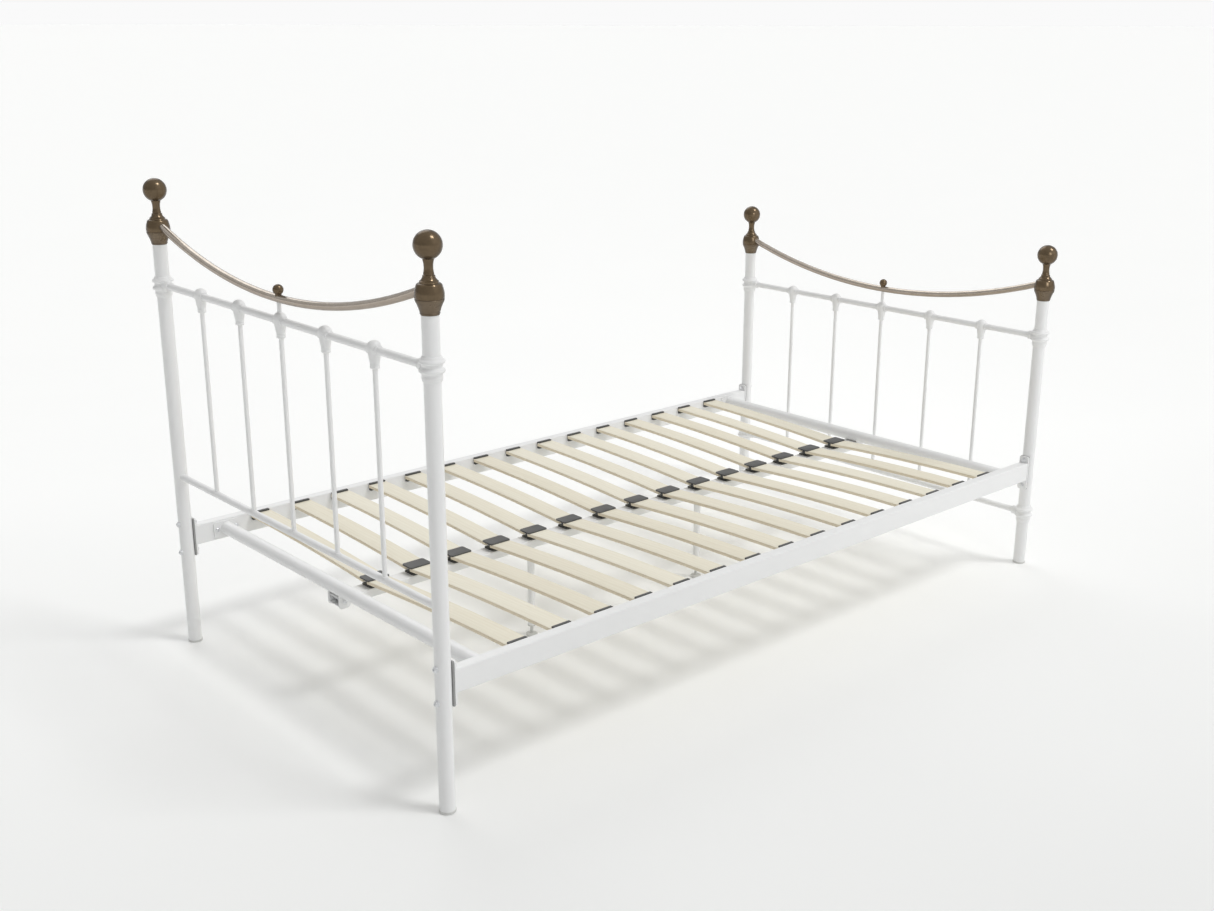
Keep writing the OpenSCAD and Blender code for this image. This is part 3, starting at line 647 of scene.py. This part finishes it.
slat, slat_centre, slat_radius = make_slat()
finish_slat(slat, slat_centre, slat_radius)
for index, x in enumerate(slat_xs):
    back = copy_of(slat, f"slat_back_{index + 1:02d}", (x, 0, 0))
    front = copy_of(slat, f"slat_front_{index + 1:02d}", (x, 0, 0), mirror=(1, -1, 1))
    finish(back, birch, ["slats_back"])
    finish(front, birch, ["slats_front"])
bpy.data.objects.remove(slat)


# ---------------------------------------------------------------- slat holders

def make_side_holder():
    """A C-shaped clip on the back rail's inner face, open towards the beam."""
    reach, length, height, lid, back = 8 * MM, 46 * MM, 20 * MM, SIDE_LID, 3 * MM
    deselect()
    bpy.ops.mesh.primitive_plane_add(size=1.0, location=(0, 0, 0), rotation=(0, math.pi / 2, 0))
    clip = bpy.context.object
    clip.name = "side_holder_pattern"
    clip.scale = (height, reach, 1.0)
    clip.location = (-length / 2, rail_face - reach / 2, rail_top - height / 2)
    apply_place(clip)
    cuts = (((0, rail_face - back, 0), (0, 1, 0)), ((0, 0, rail_top - lid), (0, 0, 1)),
            ((0, 0, rail_top - lid - SLAT_THICK), (0, 0, 1)))
    for point, normal in cuts:
        to_edit("FACE")
        bpy.ops.mesh.select_all(action="SELECT")
        bpy.ops.mesh.bisect(plane_co=point, plane_no=normal)
        to_object()
    select_where(clip, "FACE", lambda c, n: c.y < rail_face - back
                 and rail_top - lid - SLAT_THICK < c.z < rail_top - lid)
    bpy.ops.mesh.delete(type="FACE")
    bpy.ops.mesh.select_all(action="SELECT")
    bpy.ops.mesh.extrude_region_move(TRANSFORM_OT_translate={"value": (length, 0, 0)})
    bpy.ops.mesh.select_all(action="SELECT")
    bpy.ops.mesh.normals_make_consistent(inside=False)
    to_object()
    soften(clip, 0.7 * MM, 2)
    shade(clip)
    return clip


def make_centre_holder():
    """An I-shaped double holder: web, rounded top plate and a foot on the beam."""
    length, width, lid = 57 * MM, 38 * MM, MID_LID
    web_length, web, height = 40 * MM, 12 * MM, MID_HEIGHT
    foot_length, corner = 46 * MM, 5 * MM
    deselect()
    bpy.ops.mesh.primitive_cube_add(size=1.0, location=(0, 0, beam_top + height / 2))
    holder = bpy.context.object
    holder.name = "centre_holder_pattern"
    holder.scale = (web_length, web, height - 2 * lid)
    apply_place(holder)
    select_where(holder, "FACE", lambda c, n: n.z > 0.9)
    bpy.ops.mesh.extrude_region_move(TRANSFORM_OT_translate={"value": (0, 0, 0)})
    bpy.ops.transform.resize(value=(length / web_length, width / web, 1.0))
    bpy.ops.mesh.extrude_region_move(TRANSFORM_OT_translate={"value": (0, 0, lid)})
    select_where(holder, "FACE", lambda c, n: n.z < -0.9 and c.z < beam_top + height / 2)
    bpy.ops.mesh.extrude_region_move(TRANSFORM_OT_translate={"value": (0, 0, 0)})
    bpy.ops.transform.resize(value=(foot_length / web_length, width / web, 1.0))
    bpy.ops.mesh.extrude_region_move(TRANSFORM_OT_translate={"value": (0, 0, -lid)})
    select_where(holder, "EDGE", lambda c, d: abs(d.z) > 0.9
                 and abs(c.y) > 0.9 * width / 2)
    bpy.ops.mesh.bevel(offset=corner, segments=5, affect="EDGES")
    bpy.ops.mesh.select_all(action="SELECT")
    bpy.ops.mesh.normals_make_consistent(inside=False)
    to_object()
    soften(holder, 0.7 * MM, 2, 50)
    shade(holder)
    return holder


clip = make_side_holder()
for index, x in enumerate(slat_xs):
    back = copy_of(clip, f"side_holder_back_{index + 1:02d}", (x, 0, 0))
    front = copy_of(clip, f"side_holder_front_{index + 1:02d}", (x, 0, 0), mirror=(1, -1, 1))
    finish(back, holder_black, ["side_holders_back"])
    finish(front, holder_black, ["side_holders_front"])
bpy.data.objects.remove(clip)

holder = make_centre_holder()
for index, x in enumerate(slat_xs):
    double = copy_of(holder, f"centre_holder_{index + 1:02d}", (x, 0, 0))
    finish(double, holder_black, ["centre_holders"])
bpy.data.objects.remove(holder)


# ---------------------------------------------------------------- finials and collars

def make_finial():
    """A barrel with a rounded shoulder, a beaded neck and a ball, in one outline."""
    barrel = neck = 45
    outline = [(10, 6), (25.0, 6)] + arc(25.3, 6.8, 0.75, -80, 0, 4)
    outline += [(-18.5 + barrel * math.cos(math.radians(a)),
                 11.5 + barrel * math.sin(math.radians(a)))
                for a in (-4, -2, 0, 3, 6, 9, 12, 15, 18)]
    outline += arc(17.2, 27, 6.4, 16, 84, 8) + [(17.3, 34.2)]
    outline += arc(24.5, 48.5, 14, 238, 203, 7)
    outline += arc(9.6, 44.8, 2.0, -40, 75, 7) + [(9.3, 47.6)]
    outline += [(8.3 + neck - math.sqrt(neck ** 2 - (h - 60.5) ** 2), h)
                for h in (49, 51, 53, 56, 60, 64, 68, 72, 74.6)]
    outline += arc(0, 98.5, 26, -66, 86, 26)
    return turned("finial_pattern", scaled(outline), (0, 0, 0), sides=56)


def make_collar():
    """The tapered sleeve that joins a finial to its post."""
    p = post_radius / MM
    outline = [(p, 6), (24.8, 6)] + arc(25.2, 5.0, 0.95, 80, 0, 4)
    outline += [(25.9, 3.4), (25.0, 0.8), (23.2, -2.5), (21.6, -6.5), (20.2, -10), (19.1, -13.5)]
    outline += [(18.2, -16.5), (17.5, -18.1)] + arc(16.9, -19.3, 1.2, 50, -60, 5)
    outline += [(17.0, -20.7), (16.9, -22.2), (p, -22.5), (p, 6)]
    return turned("collar_pattern", scaled(outline), (0, 0, 0), sides=56, ring=True)


finial = make_finial()
shade(finial, 28)
collar = make_collar()
shade(collar, 28)
for end, end_x, end_top in (("head", head_x, head_top), ("foot", foot_x, foot_top)):
    for side, side_y in (("front", front_y), ("back", back_y)):
        place = (end_x, side_y, end_top)
        top_piece = copy_of(finial, f"finial_{end}_{side}", place)
        finish(top_piece, dark_bronze, [f"{end}_finial_{side}"])
        ring_piece = copy_of(collar, f"collar_{end}_{side}", place)
        finish(ring_piece, collar_bronze, ["finial_collars"])
bpy.data.objects.remove(finial)
bpy.data.objects.remove(collar)


# ---------------------------------------------------------------- castings

def fused(name, parts, voxel, smooth_steps):
    """Runs several turned forms together into one soft casting."""
    deselect()
    for part in parts:
        part.select_set(True)
    bpy.context.view_layer.objects.active = parts[0]
    bpy.ops.object.join()
    piece = bpy.context.object
    piece.name = name
    pick(piece)
    skin = piece.modifiers.new("one_skin", "REMESH")
    skin.mode = "VOXEL"
    skin.voxel_size = voxel
    bpy.ops.object.modifier_apply(modifier=skin.name)
    ease = piece.modifiers.new("eased", "SMOOTH")
    ease.factor = 0.5
    ease.iterations = smooth_steps
    bpy.ops.object.modifier_apply(modifier=ease.name)
    pick(piece)
    bpy.ops.object.shade_smooth()
    return piece


def make_knuckle():
    """A ball-topped casting where a spindle meets the upper bar."""
    outline = [(4.8, -36), (8.2, -36)] + arc(8.0, -33, 1.6, -60, 60, 5)
    outline += arc(8.0, -28, 1.6, -60, 60, 5)
    outline += [(9.3, -25), (10.6, -18), (12.0, -9), (13.2, -1.5)] + arc(0, 4, 14, -6, 84, 14)
    body = turned("knuckle_body", scaled(outline), (0, 0, 0), sides=48)
    sleeve = [(9, -16.6), (9.9, -16.6), (10.4, -16.2), (10.4, -15.1), (9.8, -14.6),
              (9.4, -13.4), (9.4, 13.4), (9.8, 14.6), (10.4, 15.1), (10.4, 16.2),
              (9.9, 16.6), (9, 16.6)]
    across = turned("knuckle_sleeve", scaled(sleeve), (0, 0, 0), sides=40,
                    turn_by=(math.pi / 2, 0, 0))
    for part in (body, across):
        close_open_ends(part)
    return fused("knuckle_pattern", [body, across], 0.65 * MM, 2)


def make_casting():
    """A twin-ringed casting round a post with a socket for the bar."""
    p = post_radius / MM + 0.4
    outline = [(p - 2, -26), (p + 1.0, -26), (p + 1.6, -24.5), (18.3, -22), (19.2, -19.5),
               (19.4, -17.5), (18.9, -15.0), (18.9, -11.0)]
    outline += arc(19.8, -5.5, 4.2, -75, 75, 8)
    outline += [(19.1, 0.2), (19.0, 2.8), (19.2, 6.4)]
    outline += arc(20.2, 11, 3.8, -75, 75, 8)
    outline += [(19.4, 15.6), (18.8, 18.6), (17.4, 21), (p - 2, 21), (p - 2, -26)]
    body = turned("casting_body", scaled(outline), (0, 0, 0), sides=56, ring=True)
    socket = [(9.5, 16), (14.0, 17), (13.0, 21), (11.6, 26), (10.6, 30), (10.4, 30.6)]
    socket += arc(10.2, 32.6, 1.6, -70, 70, 5) + [(10.2, 34.8), (8.6, 35)]
    arm = turned("casting_socket", scaled(socket), (0, 0, 0), sides=40,
                 turn_by=(-math.pi / 2, 0, 0))
    close_open_ends(arm)
    return fused("casting_pattern", [body, arm], 0.85 * MM, 6)


knuckle = make_knuckle()
casting = make_casting()
for end, end_x, bar_z in (("head", head_x, head_bar_z), ("foot", foot_x, foot_bar_z)):
    for index, y in enumerate(spindle_ys):
        joint_piece = copy_of(knuckle, f"knuckle_{end}_{index + 1}", (end_x, y, bar_z))
        finish(joint_piece, white_coat, [f"{end}_knuckles"])
for label, end_x, bar_z, node in (("head", head_x, head_bar_z, "head_post_castings"),
                                  ("foot", foot_x, foot_bar_z, "foot_post_castings"),
                                  ("low", foot_x, foot_low_z, "foot_low_castings")):
    front = copy_of(casting, f"casting_{label}_front", (end_x, front_y, bar_z))
    back = copy_of(casting, f"casting_{label}_back", (end_x, back_y, bar_z),
                   mirror=(1, -1, 1))
    for piece in (front, back):
        finish(piece, white_coat, [node])
bpy.data.objects.remove(knuckle)
bpy.data.objects.remove(casting)


# ---------------------------------------------------------------- weld beads

def weld_ring(name, place, inner, thick):
    """A hollow-faced bead of weld round the foot of a spindle."""
    outline = [(inner - 0.2 * MM, -thick)] + [
        (inner + thick * (1 - math.sin(a)), -thick + thick * (1 - math.cos(a)))
        for a in (math.radians(d) for d in (0, 20, 40, 60, 80, 90))]
    outline += [(inner - 0.2 * MM, 0.4 * thick), (inner - 0.2 * MM, -thick)]
    return turned(name, outline, place, sides=32, ring=True)


for end, end_x, low_z in (("head", head_x, head_low_z), ("foot", foot_x, foot_low_z)):
    for index, y in enumerate(spindle_ys):
        bead = weld_ring(f"weld_{end}_{index + 1}", (end_x, y, low_z + bar_radius + 0.6 * MM),
                         SPINDLE_RADIUS, 1.8 * MM)
        shade(bead, 60)
        finish(bead, white_coat)


# ---------------------------------------------------------------- floor, light and camera

FLOOR_SIZE = 400.0
SKY_LEFT, SKY_RIGHT, SKY_SEEN = 0.36, 0.71, 0.955
CAMERA_PLACE = (-2.3740, -2.5305, 1.4690)
TURN_DEGREES, DROP_DEGREES, ROLL_DEGREES = -41.9316, 17.2266, 0.1139
LENS_MM, SENSOR_MM = 42.18, 36.0


def make_floor(level):
    """A pale floor that glows a little towards the back and far away."""
    deselect()
    bpy.ops.mesh.primitive_plane_add(size=FLOOR_SIZE, location=(0, 0, level))
    floor = bpy.context.object
    floor.name = "floor"
    material, tree, shader, vector = new_material("studio_floor", 0.9, specular=0.1)
    cloud = noise(tree, vector, 1.5, 3.0, 0.5)
    tree.links.new(blend_colour(tree, cloud, (0.90, 0.905, 0.895), (0.92, 0.925, 0.915)),
                   shader.inputs["Base Color"])
    shader.inputs["Emission Strength"].default_value = 1.0
    along = add(tree, "ShaderNodeVectorMath", operation="DOT_PRODUCT")
    tree.links.new(vector, along.inputs[0])
    along.inputs[1].default_value = (0.50, 0.866, 0.0)
    distance = add(tree, "ShaderNodeVectorMath", operation="LENGTH")
    tree.links.new(vector, distance.inputs[0])
    far = calc(tree, "MAXIMUM", remap(tree, along.outputs["Value"], -1.5, 1.2, 0.0, 1.0),
               remap(tree, distance.outputs["Value"], 3.5, 8.0, 0.0, 1.0))
    tree.links.new(blend_colour(tree, far, (0.0, 0.0, 0.0), (0.13, 0.13, 0.13)),
                   shader.inputs["Emission Color"])
    floor.data.materials.append(material)


make_floor(cad_box[0][2])

world = bpy.data.worlds.new("studio")
bpy.context.scene.world = world
world.use_nodes = True
sky = world.node_tree
backdrop = sky.nodes["Background"]
backdrop.inputs["Color"].default_value = (1.0, 1.0, 1.0, 1.0)
seen = add(sky, "ShaderNodeLightPath")
heading = add(sky, "ShaderNodeTexCoord")
heading_axes = add(sky, "ShaderNodeSeparateXYZ")
sky.links.new(heading.outputs["Generated"], heading_axes.inputs["Vector"])
glow = remap(sky, heading_axes.outputs["X"], -1.0, 1.0, SKY_LEFT, SKY_RIGHT)
wanted = add(sky, "ShaderNodeMix", data_type="FLOAT")
sky.links.new(seen.outputs["Is Camera Ray"], wanted.inputs[0])
sky.links.new(glow, wanted.inputs[2])
wanted.inputs[3].default_value = SKY_SEEN
sky.links.new(wanted.outputs[0], backdrop.inputs["Strength"])


def sun(name, source, strength, spread):
    """A sun that shines from a direction, with a spread in degrees."""
    lamp = bpy.data.lights.new(name, "SUN")
    lamp.energy = strength
    lamp.angle = math.radians(spread)
    lamp_object = bpy.data.objects.new(name, lamp)
    bpy.context.scene.collection.objects.link(lamp_object)
    lamp_object.rotation_euler = (-Vector(source)).to_track_quat("-Z", "Y").to_euler()


sun("overhead", (0.35, -0.50, 1.0), 0.98, 16)
sun("front_fill", (0.6, -1.7, 0.9), 0.10, 40)
sun("back_fill", (0.5, 1.5, 1.3), 0.5, 40)

far_lamp = bpy.data.lights.new("far_end_fill", "SPOT")
far_lamp.energy = 110
far_lamp.spot_size = math.radians(42)
far_lamp.spot_blend = 1.0
far_lamp.shadow_soft_size = 0.8
far_fill = bpy.data.objects.new("far_end_fill", far_lamp)
bpy.context.scene.collection.objects.link(far_fill)
far_fill.location = (-0.3, -3.4, 2.2)
far_fill.rotation_euler = (Vector((1.2, 0.1, 0.7)) - far_fill.location).to_track_quat(
    "-Z", "Y").to_euler()

scene = bpy.context.scene
scene.view_settings.view_transform = "Standard"
camera_data = bpy.data.cameras.new("camera")
camera_data.lens = LENS_MM
camera_data.sensor_width = SENSOR_MM
camera = bpy.data.objects.new("camera", camera_data)
scene.collection.objects.link(camera)
turn = math.radians(TURN_DEGREES)
drop = math.radians(DROP_DEGREES)
roll = math.radians(ROLL_DEGREES)
forward = Vector((-math.sin(turn) * math.cos(drop), math.cos(turn) * math.cos(drop),
                  -math.sin(drop)))
right = Vector((math.cos(turn), math.sin(turn), 0.0))
up = right.cross(forward)
level_right = right * math.cos(roll) + up * math.sin(roll)
level_up = up * math.cos(roll) - right * math.sin(roll)
basis = Matrix((level_right, level_up, -forward)).transposed().to_4x4()
camera.matrix_world = Matrix.Translation(CAMERA_PLACE) @ basis
camera_data.clip_end = 200
scene.camera = camera

deselect()
